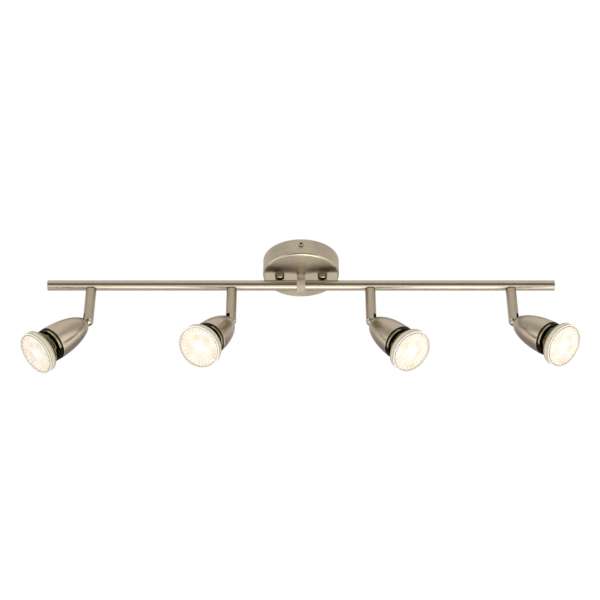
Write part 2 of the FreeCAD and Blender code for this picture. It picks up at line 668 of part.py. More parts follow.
def build_heads():
    """Stalk, head and lamp, four times."""
    head_parts = (knuckle, head_shell, front_collar, lampholder, holder_screws,
                  lamp_base, lamp_pins, lamp_glass, lamp_lens)
    solids = [(part.__name__, part()) for part in head_parts]
    for number in range(4):
        pin_side = 1 if HEAD_PAN[number] < 0 else -1
        save(place(stalk(), number, False), "stalk_%d" % (number + 1))
        save(place(hinge_pin(pin_side), number, False), "hinge_pin_%d" % (number + 1))
        for name, shape in solids:
            save(place(shape, number, True), "%s_%d" % (name, number + 1))


build_fixed()
build_heads()
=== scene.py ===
"""Looks of the ceiling spotlight bar with four heads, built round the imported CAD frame."""
import json
import math

import bmesh
import bpy
from mathutils import Matrix, Vector


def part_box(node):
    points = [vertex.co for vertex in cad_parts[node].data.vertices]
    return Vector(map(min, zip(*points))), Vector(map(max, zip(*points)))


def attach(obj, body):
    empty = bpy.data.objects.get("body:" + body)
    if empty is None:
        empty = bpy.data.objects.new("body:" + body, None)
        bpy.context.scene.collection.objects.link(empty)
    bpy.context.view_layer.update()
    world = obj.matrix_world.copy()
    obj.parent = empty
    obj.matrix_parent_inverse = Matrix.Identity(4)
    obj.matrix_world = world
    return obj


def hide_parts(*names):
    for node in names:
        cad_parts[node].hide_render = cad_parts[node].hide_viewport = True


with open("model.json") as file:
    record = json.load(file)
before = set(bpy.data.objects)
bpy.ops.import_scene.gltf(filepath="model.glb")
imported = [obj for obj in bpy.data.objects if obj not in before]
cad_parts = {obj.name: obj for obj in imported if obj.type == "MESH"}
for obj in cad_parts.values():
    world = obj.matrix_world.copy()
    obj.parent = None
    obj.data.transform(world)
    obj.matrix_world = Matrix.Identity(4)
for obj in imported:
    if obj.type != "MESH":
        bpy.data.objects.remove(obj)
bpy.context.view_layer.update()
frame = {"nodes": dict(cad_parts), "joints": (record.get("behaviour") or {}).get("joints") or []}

MM = 0.001
CREASE = math.radians(32.0)
HEADS = (1, 2, 3, 4)


def low(node):
    """Lowest corner of a CAD node, in millimetres."""
    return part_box(node)[0] / MM


def high(node):
    """Highest corner of a CAD node, in millimetres."""
    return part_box(node)[1] / MM


# Sizes in millimetres. Fixed parts take theirs from the frame. Head parts are drawn along the
# lamp's axis from the hinge, because their boxes in the frame are turned.

# Rose and its screws
ROSE_R = high("rose_cover").x
ROSE_H = -low("rose_cover").z
ROSE_WALL = 1.0
ROSE_EDGE = 2.5
ROSE_LIP = 0.25
STUD_HEAD_R = 3.6
STUD_X = high("bracket_studs").x - STUD_HEAD_R
STUD_HOLE_R = 2.2
CAP_NUT_R = high("cap_nuts").y
CAP_NUT_H = -low("cap_nuts").z - ROSE_H
CAP_DOME = 2.0
CAP_GROOVE_START = 0.9
CAP_GROOVE_DEPTH = 0.12
SIDE_SCREW_Z = (low("side_screw").z + high("side_screw").z) / 2
SIDE_SCREW_R = high("side_screw").x
SIDE_SCREW_PROUD = -ROSE_R - low("side_screw").y
SIDE_SHANK_R = 1.5
SIDE_SHANK = 6.0
SIDE_HOLE_R = 1.7
SOCKET_ACROSS = 2.5

# Bar, end caps and post
BAR_R = high("bar_tube").y
BAR_Z = (low("bar_tube").z + high("bar_tube").z) / 2
BAR_HALF = high("bar_tube").x
BAR_WALL = 1.0
LEAD_HOLE_R = 3.0
CAP_WALL = high("end_caps").x - BAR_HALF
CAP_SPIGOT = 5.0
POST_R = 4.7
POST_NECK_R = 4.0
POST_TOP = high("bar_post").z
POST_BORE_R = 2.4
RING_R = high("bar_post").y
RING_HALF = high("bar_post").x
RING_GAP = 0.03

# Stalk and hinge pin, from the hinge upwards and sideways
STALK_R = 6.0
STALK_BORE_R = 4.5
STALK_TOP = high("stalk_1").z - low("stalk_1").z - STALK_R
STALK_LID = 2.0
PAN_BORE_R = 3.06
SLOT_HALF = 2.5
SLOT_TOP = 6.5
SLOT_BACK = 4.9
SLOT_FLOOR = 4.0
PIN_R = 1.5
PIN_SEAT = 4.6
PIN_HEAD_R = 2.5
PIN_HEAD_H = 2.4
PIN_TAIL_R = 2.1
PIN_TAIL_H = 1.2
PAST_STALK = 9.0

# Head shell and collar, from the hinge forwards
SHELL_BACK = 7.0
SHELL_FRONT = 56.0
SHELL_R = 19.5
SHELL_SWEEP = 53.5
SHELL_WALL = 1.0
SPIGOT_R = 3.0
COLLAR_X0 = 50.0
COLLAR_X1 = 60.0
COLLAR_IN = 17.2
COLLAR_OUT = 18.2
COLLAR_GROOVE = 0.5
COLLAR_GROOVE_END = 57.9
TAB_IN = 18.0
TAB_OUT = 19.4
TAB_END = 63.6
WINDOW_ANGLE = math.radians(88.0)

# Lamp, from the hinge forwards
BASE_X0 = 34.2
BASE_X1 = 49.0
BASE_R = 11.6
BASE_TOE_R = 9.0
BASE_HEEL_X = 36.0
BASE_HEEL_R = 10.0
BASE_WIDE_X = 44.6
COOLING_START = 37.0
COOLING_PITCH = 1.8
COOLING_DEPTH = 0.45
COOLING_GROOVES = 4
GLASS_WALL = 1.2
FLARE_X1 = 71.0
FLARE_R = 22.3
FLARE_BULGE = 1.3
GROOVE_R = 21.3
RIM_X0 = 73.5
RIM_X1 = 81.0
RIM_BACK_R = 24.6
RIM_R = 25.1
LENS_X0 = 79.6
LENS_R = 23.6
LENS_DOME = 0.5
LENS_GAP = 0.12
LENS_SET = 0.35
LEDGE_R = 22.4
INNER_BULGE = 0.9
RIBS = 72
RIB_DEPTH = 0.4
RIB_X0 = RIM_X0 + 0.5
RIB_X1 = RIM_X1 - 0.7
REFLECTOR_GAP = 0.1
REFLECTOR_WALL = 0.4
OPTIC_GAP = 0.15
OPTIC_BACK = 73.6
OPTIC_FRONT = LENS_X0 - 0.25
OPTIC_SINK = 1.0
DOME_SEAT = LENS_X0 - 1.1
DOME_R = 5.2
DOME_H = 0.9
RING_FACETS = 14
FACET_START_R = 6.0
PETALS = 28
PETAL_START_R = 12.0
PETAL_DEPTH = 0.4
RELIEF_X0 = LENS_X0 - 2.2

# Places in metres, angles in degrees, lens and sensor in millimetres
CAMERA_PLACE = (-0.0012, -1.3311, -0.9267)
CAMERA_RISE = 33.23
CAMERA_LENS = 82.49
SENSOR = 36.0
FLOOR_Z = -1.75
FLOOR_R = 9.0
MIDDLE = (0, 0, -0.08)

# What the metal mirrors: (degrees above level, brightness) on the viewer's side, at the sides and
# behind, and one bright patch below
NEAR_STOPS = ((-90, 0.95), (-36, 1.0), (-26, 0.10), (12, 0.10), (26, 0.62), (45, 0.70), (90, 0.66))
SIDE_STOPS = ((-90, 0.85), (-50, 1.0), (14, 1.0), (28, 0.40), (50, 0.44), (70, 0.62), (90, 0.66))
FAR_STOPS = ((-90, 0.85), (-80, 0.50), (-62, 0.36), (-40, 0.68), (-28, 0.68), (-10, 0.24),
             (15, 0.28), (30, 0.55), (90, 0.66))
WARM = (1.0, 0.985, 0.955)
LAMPLIGHT = (1.0, 0.96, 0.9)
GLOW_AIM = (0.225, -0.134, -0.965)
GLOW_CORE = 10
GLOW_EDGE = 30
GLOW = 2.6


# ---- frames

def axes(place, along, side):
    """Matrix with local X along, local Y to the side, and its origin at place in millimetres."""
    along = Vector(along).normalized()
    side = Vector(side).normalized()
    turn = Matrix((along, side, along.cross(side))).transposed()
    return Matrix.Translation(Vector(place) * MM) @ turn.to_4x4()


def shift(x, y, z):
    """Matrix that moves by millimetres."""
    return Matrix.Translation(Vector((x, y, z)) * MM)


def turned(axis, degrees):
    """Matrix that turns about an axis of the frame."""
    return Matrix.Rotation(math.radians(degrees), 4, axis)


def joint(name):
    """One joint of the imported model."""
    return next(entry for entry in frame["joints"] if entry["name"] == name)


def head_axes(number):
    """Pivot in millimetres, lamp direction and hinge direction of one head at rest."""
    tilt = joint(f"tilt_{number}")
    pivot = Vector(tilt["pos_m"]) / MM
    return pivot, Vector(joint(f"lamp_twist_{number}")["axis"]), -Vector(tilt["axis"])


# ---- mesh tools

def rounded(corners, steps):
    """Outline of (along, radius) from corners (along, radius, rounding), in millimetres."""
    outline = []
    count = len(corners)
    for place, (along, radius, rounding) in enumerate(corners):
        here = Vector((along, radius))
        if rounding == 0:
            outline.append(here)
            continue
        before = (Vector(corners[place - 1][:2]) - here).normalized()
        after = (Vector(corners[(place + 1) % count][:2]) - here).normalized()
        half = before.angle(after) / 2
        centre = here + (before + after).normalized() * rounding / math.sin(half)
        reach = rounding / math.tan(half)
        first = here + before * reach - centre
        last = here + after * reach - centre
        start = math.atan2(first.y, first.x)
        sweep = (math.atan2(last.y, last.x) - start + math.pi) % (2 * math.pi) - math.pi
        for step in range(steps + 1):
            angle = start + sweep * step / steps
            outline.append(centre + rounding * Vector((math.cos(angle), math.sin(angle))))
    return outline


def lathe(outline, steps, relief=None, start=0.0, sweep=2 * math.pi):
    """Turned solid about local X. relief(along, radius, angle) may move the point (along, radius)."""
    whole = abs(sweep - 2 * math.pi) < 1e-9
    count = steps if whole else steps + 1
    solid = bmesh.new()
    rings = []
    for along, radius in outline:
        if radius < 1e-4:
            rings.append([solid.verts.new(Vector((along, 0, 0)) * MM)] * count)
            continue
        ring = []
        for step in range(count):
            angle = start + sweep * step / steps
            depth, reach = relief(along, radius, angle) if relief else (along, radius)
            corner = Vector((depth, reach * math.cos(angle), reach * math.sin(angle)))
            ring.append(solid.verts.new(corner * MM))
        rings.append(ring)
    for first, second in zip(rings, rings[1:] + rings[:1]):
        for step in range(steps):
            after = (step + 1) % count
            corners = [first[step], first[after], second[after], second[step]]
            corners = list(dict.fromkeys(corners))
            if len(corners) > 2:
                solid.faces.new(corners)
    if not whole:
        for end in (0, steps):
            solid.faces.new([ring[end] for ring in rings])
    bmesh.ops.recalc_face_normals(solid, faces=solid.faces)
    return solid


def drill(start, end, radius, steps=32):
    """Round cutter along local X, in millimetres."""
    return lathe([(start, 0), (start, radius), (end, radius), (end, 0)], steps)


def prism(points, depth0, depth1):
    """Straight solid: an outline of (along, height) carried along local Y, in millimetres."""
    solid = bmesh.new()
    ends = [[solid.verts.new(Vector((x, depth, z)) * MM) for x, z in points]
            for depth in (depth0, depth1)]
    solid.faces.new(ends[0])
    solid.faces.new(ends[1])
    count = len(points)
    for step in range(count):
        after = (step + 1) % count
        solid.faces.new([ends[0][step], ends[0][after], ends[1][after], ends[1][step]])
    bmesh.ops.recalc_face_normals(solid, faces=solid.faces)
    return solid


def moved(solid, matrix):
    """The same bmesh after a transform."""
    bmesh.ops.transform(solid, matrix=matrix, verts=solid.verts)
    return solid


def shade(mesh):
    """Smooth shading, with a crease at every edge sharper than CREASE."""
    solid = bmesh.new()
    solid.from_mesh(mesh)
    for face in solid.faces:
        face.smooth = True
    for edge in solid.edges:
        edge.smooth = len(edge.link_faces) == 2 and edge.calc_face_angle() < CREASE
    solid.to_mesh(mesh)
    solid.free()


def new_piece(name, solid):
    """Object from a bmesh, still at the origin."""
    mesh = bpy.data.meshes.new(name)
    solid.to_mesh(mesh)
    solid.free()
    piece = bpy.data.objects.new(name, mesh)
    bpy.context.scene.collection.objects.link(piece)
    shade(mesh)
    return piece


def bake(piece):
    """Replace a piece's mesh by its mesh with the modifiers applied."""
    graph = bpy.context.evaluated_depsgraph_get()
    mesh = bpy.data.meshes.new_from_object(piece.evaluated_get(graph))
    piece.modifiers.clear()
    piece.data = mesh
    mesh.name = piece.name


def combine(piece, operation, *solids):
    """Cut solids out of a piece, or join them to it."""
    for solid in solids:
        tool = new_piece("tool", solid)
        step = piece.modifiers.new("combine", "BOOLEAN")
        step.operation = operation
        step.solver = "EXACT"
        step.object = tool
        bake(piece)
        shade(piece.data)
        bpy.data.objects.remove(tool)


def soften(piece, width, segments=2, limit=40.0):
    """Round every sharp edge of a piece."""
    step = piece.modifiers.new("soften", "BEVEL")
    step.width = width * MM
    step.segments = segments
    step.limit_method = "ANGLE"
    step.angle_limit = math.radians(limit)
    step.use_clamp_overlap = True
    bake(piece)
    shade(piece.data)


def flatten(piece):
    """Weight the smooth normals by face area, so that broad flat faces stay flat."""
    step = piece.modifiers.new("flatten", "WEIGHTED_NORMAL")
    step.keep_sharp = True
    bake(piece)


def dress(piece, matrix, body, slot, materials, *nodes):
    """Put a piece in its place, on its body, with its materials."""
    flatten(piece)
    piece.matrix_world = matrix
    piece.data.materials.clear()
    for material in materials:
        piece.data.materials.append(material)
    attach(piece, body)
    if nodes:
        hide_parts(*nodes)


def outward(face):
    """From the piece's local X axis to the middle of a face, in millimetres."""
    return Vector((0, face.center.y, face.center.z)) / MM


def paint(piece, pick):
    """Give each face of a dressed piece the material that pick(face) returns."""
    places = {material: place for place, material in enumerate(piece.data.materials)}
    for face in piece.data.polygons:
        face.material_index = places[pick(face)]


# ---- materials

class Nodes:
    """Short ways to add and link shader nodes."""

    def __init__(self, tree):
        self.tree = tree

    def node(self, kind, **settings):
        """New node with its settings."""
        made = self.tree.nodes.new(kind)
        for key, value in settings.items():
            setattr(made, key, value)
        return made

    def feed(self, socket, value):
        """Link a socket, or set its value."""
        if isinstance(value, bpy.types.NodeSocket):
            self.tree.links.new(value, socket)
        else:
            socket.default_value = value

    def math(self, operation, first, second=0.0):
        """Result of one maths node."""
        made = self.node("ShaderNodeMath", operation=operation)
        self.feed(made.inputs[0], first)
        self.feed(made.inputs[1], second)
        return made.outputs[0]

    def times(self, first, second):
        """Product of two values."""
        return self.math("MULTIPLY", first, second)

    def total(self, *values):
        """Sum of several values."""
        result = values[0]
        for value in values[1:]:
            result = self.math("ADD", result, value)
        return result

    def parts(self, vector):
        """X, Y and Z of a vector."""
        split = self.node("ShaderNodeSeparateXYZ")
        self.feed(split.inputs[0], vector)
        return split.outputs

    def span(self, value, start, end, low_value=0.0, high_value=1.0, smooth=False):
        """Map start..end to low_value..high_value, held at both ends."""
        made = self.node("ShaderNodeMapRange", interpolation_type="SMOOTHSTEP" if smooth else "LINEAR")
        self.feed(made.inputs["Value"], value)
        made.inputs["From Min"].default_value = start
        made.inputs["From Max"].default_value = end
        made.inputs["To Min"].default_value = low_value
        made.inputs["To Max"].default_value = high_value
        return made.outputs["Result"]

    def colours(self, factor, *stops):
        """Colour ramp with stops (place, colour)."""
        made = self.node("ShaderNodeValToRGB")
        self.feed(made.inputs["Fac"], factor)
        ramp = made.color_ramp
        while len(ramp.elements) < len(stops):
            ramp.elements.new(0.5)
        for element, (place, colour) in zip(ramp.elements, stops):
            element.position = place
            element.color = (*colour, 1.0)
        return made.outputs["Color"]

    def mix(self, factor, first, second):
        """Blend of two colours."""
        made = self.node("ShaderNodeMix", data_type="RGBA")
        self.feed(made.inputs["Factor"], factor)
        sockets = [socket for socket in made.inputs if socket.type == "RGBA"]
        for socket, value in zip(sockets, (first, second)):
            self.feed(socket, value if isinstance(value, bpy.types.NodeSocket) else (*value, 1.0))
        return next(socket for socket in made.outputs if socket.type == "RGBA")


class Finish(Nodes):
    """A node material under construction."""

    def __init__(self, name, **values):
        self.material = bpy.data.materials.new(name)
        self.material.use_nodes = True
        super().__init__(self.material.node_tree)
        self.shader = self.tree.nodes["Principled BSDF"]
        for socket, value in values.items():
            self.shader.inputs[socket.replace("_", " ")].default_value = value

    def coordinates(self):
        """Local X, Y and Z of the piece."""
        return self.parts(self.node("ShaderNodeTexCoord").outputs["Object"])

    def polar(self):
        """Distance from local X in metres, and the angle about it."""
        y, z = self.coordinates()[1:]
        radius = self.math("SQRT", self.total(self.times(y, y), self.times(z, z)))
        return radius, self.math("ARCTAN2", z, y)

    def joined(self, x, y, z):
        """Vector from three values."""
        made = self.node("ShaderNodeCombineXYZ")
        for socket, value in zip(made.inputs, (x, y, z)):
            self.feed(socket, value)
        return made.outputs[0]

    def noise(self, vector, scale=1.0, detail=3.0, w=None):
        """Noise from 0 to 1, in four dimensions if w is given."""
        made = self.node("ShaderNodeTexNoise", noise_dimensions="3D" if w is None else "4D")
        self.feed(made.inputs["Vector"], vector)
        made.inputs["Scale"].default_value = scale
        made.inputs["Detail"].default_value = detail
        if w is not None:
            self.feed(made.inputs["W"], w)
        return made.outputs["Fac"]

    def turned_lines(self, pitch, sweep):
        """Noise in fine lines round local X, one line about every pitch in metres."""
        x, y, z = self.coordinates()
        radius = self.math("MAXIMUM", self.polar()[0], 1e-5)
        side = self.times(self.math("DIVIDE", y, radius), sweep)
        rise = self.times(self.math("DIVIDE", z, radius), sweep)
        line = self.joined(self.math("DIVIDE", x, pitch), self.math("DIVIDE", radius, pitch), side)
        return self.noise(line, detail=2.0, w=rise)

    def mottle(self, size, detail=3.0):
        """Soft patches of about the given size in metres."""
        place = self.node("ShaderNodeTexCoord").outputs["Object"]
        return self.noise(place, scale=1.0 / size, detail=detail)

    def between(self, factor, low_value, high_value):
        """Map the middle of a noise to a range."""
        return self.span(factor, 0.3, 0.7, low_value, high_value)

    def colour(self, value):
        self.feed(self.shader.inputs["Base Color"], value)

    def blend(self, factor, dark, light, start=0.3):
        """Colour from dark to light over the middle of a noise."""
        self.colour(self.colours(factor, (start, dark), (1 - start, light)))

    def roughness(self, value):
        self.feed(self.shader.inputs["Roughness"], value)

    def glow(self, value):
        self.feed(self.shader.inputs["Emission Color"], value)

    def bump(self, height, strength, distance):
        """Fine relief in the shading."""
        made = self.node("ShaderNodeBump")
        made.inputs["Strength"].default_value = strength
        made.inputs["Distance"].default_value = distance
        self.feed(made.inputs["Height"], height)
        self.feed(self.shader.inputs["Normal"], made.outputs["Normal"])

    def brushed_round(self):
        """Stretch the gloss across the turned lines."""
        tangent = self.node("ShaderNodeTangent", direction_type="RADIAL", axis="X")
        self.feed(self.shader.inputs["Tangent"], tangent.outputs[0])


def satin_nickel(name, colour, rough, stretch, pitch=0.0008, contrast=0.07):
    """Warm nickel plate, brushed in fine lines round the part."""
    finish = Finish(name, Metallic=1.0, Anisotropic=stretch, Anisotropic_Rotation=0.25)
    lines = finish.turned_lines(pitch, 2.5)
    patches = finish.mottle(0.016)
    darker = tuple(channel * (1 - contrast) for channel in colour)
    lighter = tuple(min(1.0, channel * (1 + contrast)) for channel in colour)
    mixed = finish.total(finish.times(lines, 0.6), finish.times(patches, 0.4))
    finish.blend(mixed, darker, lighter, 0.34)
    finish.roughness(finish.between(mixed, rough - 0.02, rough + 0.03))
    finish.bump(lines, 0.03, 0.00003)
    finish.brushed_round()
    return finish.material


def plain_satin_nickel(name, metallic, low_rough, high_rough):
    """The same plate, duller, on small cast and turned parts."""
    finish = Finish(name, Metallic=metallic)
    grain = finish.mottle(0.0016, 4.0)
    patches = finish.mottle(0.006)
    mixed = finish.total(finish.times(grain, 0.5), finish.times(patches, 0.5))
    finish.blend(mixed, (0.60, 0.53, 0.41), (0.76, 0.68, 0.54), 0.34)
    finish.roughness(finish.between(mixed, low_rough, high_rough))
    finish.bump(grain, 0.1, 0.00005)
    return finish.material


def shadowed_nickel():
    """Painted shade: dark, dull nickel for the inside of the small socket."""
    finish = Finish("nickel_in_shadow", Metallic=1.0)
    grain = finish.mottle(0.0008, 2.0)
    finish.blend(grain, (0.05, 0.045, 0.035), (0.09, 0.08, 0.06))
    finish.roughness(finish.between(grain, 0.5, 0.6))
    return finish.material


def polished_nickel(name, dark, light):
    """Bright nickel on the small screws, nuts and rivets."""
    finish = Finish(name, Metallic=1.0)
    lines = finish.turned_lines(0.0004, 1.0)
    finish.blend(lines, dark, light)
    finish.roughness(finish.between(lines, 0.12, 0.2))
    finish.bump(lines, 0.05, 0.00002)
    return finish.material


def zinc_steel():
    """Zinc-plated pressed steel with its faint crystal patches."""
    finish = Finish("zinc_steel", Metallic=1.0)
    place = finish.node("ShaderNodeTexCoord").outputs["Object"]
    cells = finish.node("ShaderNodeTexVoronoi", feature="F1")
    finish.feed(cells.inputs["Vector"], place)
    cells.inputs["Scale"].default_value = 420.0
    patches = finish.mottle(0.004)
    crystals = finish.times(cells.outputs["Distance"], 0.35)
    mixed = finish.total(crystals, finish.times(patches, 0.65))
    finish.blend(mixed, (0.55, 0.57, 0.60), (0.74, 0.75, 0.76))
    finish.roughness(finish.between(mixed, 0.28, 0.46))
    finish.bump(patches, 0.08, 0.00005)
    return finish.material


def brass():
    """Machined brass of the terminal clamps."""
    finish = Finish("brass", Metallic=1.0)
    patches = finish.mottle(0.0015)
    finish.blend(patches, (0.68, 0.49, 0.20), (0.85, 0.66, 0.32))
    finish.roughness(finish.between(patches, 0.22, 0.38))
    finish.bump(patches, 0.06, 0.00003)
    return finish.material


def moulded(name, dark, light, rough, subsurface):
    """Moulded plastic with a fine even grain."""
    finish = Finish(name, Subsurface_Weight=subsurface)
    finish.shader.inputs["Subsurface Radius"].default_value = (0.002, 0.002, 0.002)
    grain = finish.mottle(0.0004, 2.0)
    patches = finish.mottle(0.006)
    finish.blend(patches, dark, light)
    finish.roughness(finish.between(grain, rough - 0.06, rough + 0.08))
    finish.bump(grain, 0.05, 0.00003)
    return finish.material


def black_collar():
    """Deep black enamel on the collar's tabs."""
    finish = Finish("black_collar", Specular_IOR_Level=0.06)
    grain = finish.mottle(0.0008, 2.0)
    finish.blend(grain, (0.004, 0.003, 0.0015), (0.010, 0.007, 0.004))
    finish.roughness(finish.between(grain, 0.3, 0.42))
    finish.bump(grain, 0.04, 0.00003)
    return finish.material


def ceramic():
    """White glazed ceramic of the lampholder."""
    finish = Finish("ceramic", Coat_Weight=0.4, Coat_Roughness=0.15)
    specks = finish.mottle(0.0005, 4.0)
    patches = finish.mottle(0.008)
    finish.blend(patches, (0.78, 0.76, 0.71), (0.87, 0.86, 0.82))
    finish.roughness(finish.between(specks, 0.35, 0.55))
    finish.bump(specks, 0.1, 0.00005)
    return finish.material


def wire_insulation():
    """Brown, blue and green-and-yellow insulation, told apart by where each wire runs."""
    finish = Finish("wire_insulation")
    x, y, z = finish.coordinates()
    run = finish.math("ADD", x, z)
    stripe = finish.math("GREATER_THAN", finish.math("SINE", finish.times(run, 900.0)), 0.2)
    earth = finish.colours(stripe, (0.0, (0.05, 0.30, 0.06)), (1.0, (0.75, 0.62, 0.05)))
    place = finish.math("ADD", finish.times(y, 1.0 / 0.0045), 0.5)
    others = finish.colours(place, (0.0, (0.16, 0.07, 0.03)), (0.33, (0.04, 0.13, 0.42)))
    others.node.color_ramp.interpolation = "CONSTANT"
    finish.colour(finish.mix(finish.math("GREATER_THAN", place, 0.67), others, earth))
    finish.roughness(finish.between(finish.mottle(0.001), 0.35, 0.5))
    return finish.material


def lamp_glass():
    """Clear, faintly yellow pressed glass of the flared body."""
    finish = Finish("lamp_glass", Transmission_Weight=1.0, IOR=1.46)
    patches = finish.mottle(0.005)
    finish.blend(patches, (0.86, 0.82, 0.66), (0.94, 0.91, 0.80))
    finish.roughness(finish.between(patches, 0.06, 0.14))
    return finish.material


def lamp_rim():
    """Milky ribbed glass of the rim, lit from inside by the lamp, with painted shade in the valleys
    between its ribs.
    """
    finish = Finish("lamp_rim", Transmission_Weight=0.15, IOR=1.46, Emission_Strength=0.2)
    x = finish.coordinates()[0]
    radius, angle = finish.polar()
    column = finish.math("ABSOLUTE", finish.math("SINE", finish.times(angle, RIBS / 2)))
    half_turn = (RIB_X1 - RIB_X0) * MM / math.pi
    turn = finish.math("DIVIDE", finish.math("SUBTRACT", x, RIB_X0 * MM), half_turn)
    row = finish.math("ABSOLUTE", finish.math("SINE", turn))
    ridge = finish.times(column, row)
    side = finish.span(x, (RIM_X1 - 0.3) * MM, (RIM_X1 - 0.6) * MM)
    side = finish.times(side, finish.math("GREATER_THAN", radius, (RIM_BACK_R - 0.8) * MM))
    # Painted shade: the valleys between the ribs on the rim's side are darker.
    rib_valley_shade = finish.times(side, finish.span(ridge, 0.7, 0.0, 0.25, 1.0))
    light = finish.math("SUBTRACT", 1.0, rib_valley_shade)
    tint = finish.colours(light, (0.0, (0.36, 0.30, 0.19)), (0.75, (0.86, 0.80, 0.66)),
                          (1.0, (0.95, 0.93, 0.88)))
    finish.colour(tint)
    finish.glow(tint)
    finish.roughness(finish.between(finish.mottle(0.005), 0.2, 0.32))
    return finish.material


def lamp_lens():
    """Clear front glass."""
    finish = Finish("lamp_lens", Transmission_Weight=1.0, IOR=1.46)
    patches = finish.mottle(0.006)
    finish.blend(patches, (0.97, 0.96, 0.94), (1.0, 0.995, 0.98))
    finish.roughness(finish.between(patches, 0.01, 0.04))
    return finish.material


def lamp_optic():
    """Facetted optic, lit from behind: painted light on white ridges, painted shade in tan valleys, a
    painted brighter middle and a painted shadow at the edge, and a few amber patches.
    """
    finish = Finish("lamp_optic", Emission_Strength=0.55)
    radius, angle = finish.polar()
    place = finish.node("ShaderNodeTexCoord").outputs["Object"]
    wobble = finish.times(finish.noise(place, scale=120.0, detail=2.0), 4.0)
    wave = finish.math("SINE", finish.total(finish.times(angle, PETALS), wobble))
    outer = finish.span(radius, 0.013, 0.019, smooth=True)
    ridge = finish.times(finish.span(wave, -1.0, 0.6, -0.5, 0.5), outer)
    inner_wave = finish.math("SINE", finish.times(angle, RING_FACETS))
    inner = finish.times(finish.span(inner_wave, -1.0, 1.0, -0.5, 0.5), finish.span(radius, 0.014, 0.010))
    # The ridges and valleys of the facets, the brighter middle and the darker edge are painted light and
    # shade.
    facets = finish.total(finish.times(ridge, 0.4), finish.times(inner, 0.1))
    centre = finish.span(radius, 0.0115, 0.003, 0.0, 0.65, smooth=True)
    clouds = finish.span(finish.mottle(0.010, 2.0), 0.35, 0.65, 0.25, 0.75)
    shadow = finish.span(radius, 0.0185, 0.0215, 0.0, -0.15)
    light = finish.total(facets, centre, clouds, shadow)
    tint = finish.colours(light, (0.0, (0.76, 0.60, 0.40)), (0.22, (0.88, 0.76, 0.62)),
                          (0.5, (0.94, 0.84, 0.735)), (0.95, (1.0, 0.97, 0.93)))
    finish.colour(tint)
    finish.glow(tint)
    finish.roughness(finish.span(light, 0.0, 1.0, 0.2, 0.35))
    return finish.material


def reflector_shade():
    """Painted shade: dark bronze on the outside of the reflector, seen through the glass."""
    finish = Finish("reflector_shade", Metallic=1.0)
    patches = finish.mottle(0.004)
    finish.blend(patches, (0.16, 0.12, 0.06), (0.34, 0.28, 0.16))
    finish.roughness(finish.between(patches, 0.16, 0.26))
    return finish.material


def emitter():
    """The lamp's light source under its small dome."""
    finish = Finish("emitter", Emission_Strength=1.0)
    spread = finish.math("DIVIDE", finish.polar()[0], DOME_R * MM)
    glow = finish.colours(spread, (0.0, (1.0, 0.99, 0.97)), (0.5, (0.9, 0.88, 0.85)),
                          (1.0, (0.66, 0.63, 0.59)))
    finish.glow(glow)
    finish.colour(glow)
    finish.roughness(finish.between(finish.mottle(0.002), 0.25, 0.4))
    return finish.material


NICKEL = (0.72, 0.615, 0.475)
# The rose's nickel is a lighter copy of NICKEL: painted light that brightens the rose.
ROSE_NICKEL_LIT = (0.77, 0.665, 0.51)
SHADE_BRONZE = (0.14, 0.12, 0.05)
# The inside nickel is a darker, greener copy of NICKEL: painted shade on the faces inside the shell and
# the collar.
INSIDE_NICKEL_SHADED = (0.56, 0.52, 0.35)
SATIN = satin_nickel("satin_nickel", NICKEL, rough=0.30, stretch=0.5)
SATIN_SHELL = satin_nickel("satin_nickel_shell", NICKEL, rough=0.24, stretch=0.45, pitch=0.001,
                           contrast=0.06)
SATIN_ROSE = satin_nickel("satin_nickel_rose", ROSE_NICKEL_LIT, rough=0.30, stretch=0.6, pitch=0.0011,
                          contrast=0.10)
SATIN_FACE = satin_nickel("satin_nickel_face", ROSE_NICKEL_LIT, rough=0.25, stretch=0.97, pitch=0.0011,
                          contrast=0.10)
# Painted shade: dark bronze for the floor of the collar's groove.
GROOVE_SHADE = satin_nickel("collar_groove_shade", SHADE_BRONZE, rough=0.3, stretch=0.3)
SATIN_INSIDE_SHADED = satin_nickel("satin_nickel_inside_shaded", INSIDE_NICKEL_SHADED, rough=0.3, stretch=0.3)
SATIN_PLAIN = plain_satin_nickel("satin_nickel_plain", metallic=1.0, low_rough=0.46, high_rough=0.56)
SATIN_CAST = plain_satin_nickel("satin_nickel_cast", metallic=0.4, low_rough=0.70, high_rough=0.85)
SHADOWED = shadowed_nickel()
POLISHED = polished_nickel("polished_nickel", (0.70, 0.64, 0.54), (0.80, 0.74, 0.64))
# A darker copy of the polished nickel for the cap nuts: painted shade standing in for the dark
# reflections on them.
POLISHED_NUT_SHADED = polished_nickel("polished_nickel_nut_shaded", (0.46, 0.40, 0.30), (0.60, 0.53, 0.42))
ZINC = zinc_steel()
BRASS = brass()
TERMINAL = moulded("terminal_plastic", (0.72, 0.72, 0.70), (0.82, 0.82, 0.80), 0.4, 0.1)
LAMP_MOULDING = moulded("lamp_moulding", (0.80, 0.78, 0.73), (0.88, 0.87, 0.83), 0.36, 0.05)
COLLAR = black_collar()
CERAMIC = ceramic()
WIRES = wire_insulation()
GLASS = lamp_glass()
RIM = lamp_rim()
LENS = lamp_lens()
OPTIC = lamp_optic()
REFLECTOR_SHADE = reflector_shade()
EMITTER = emitter()


# ---- rose, post and bar

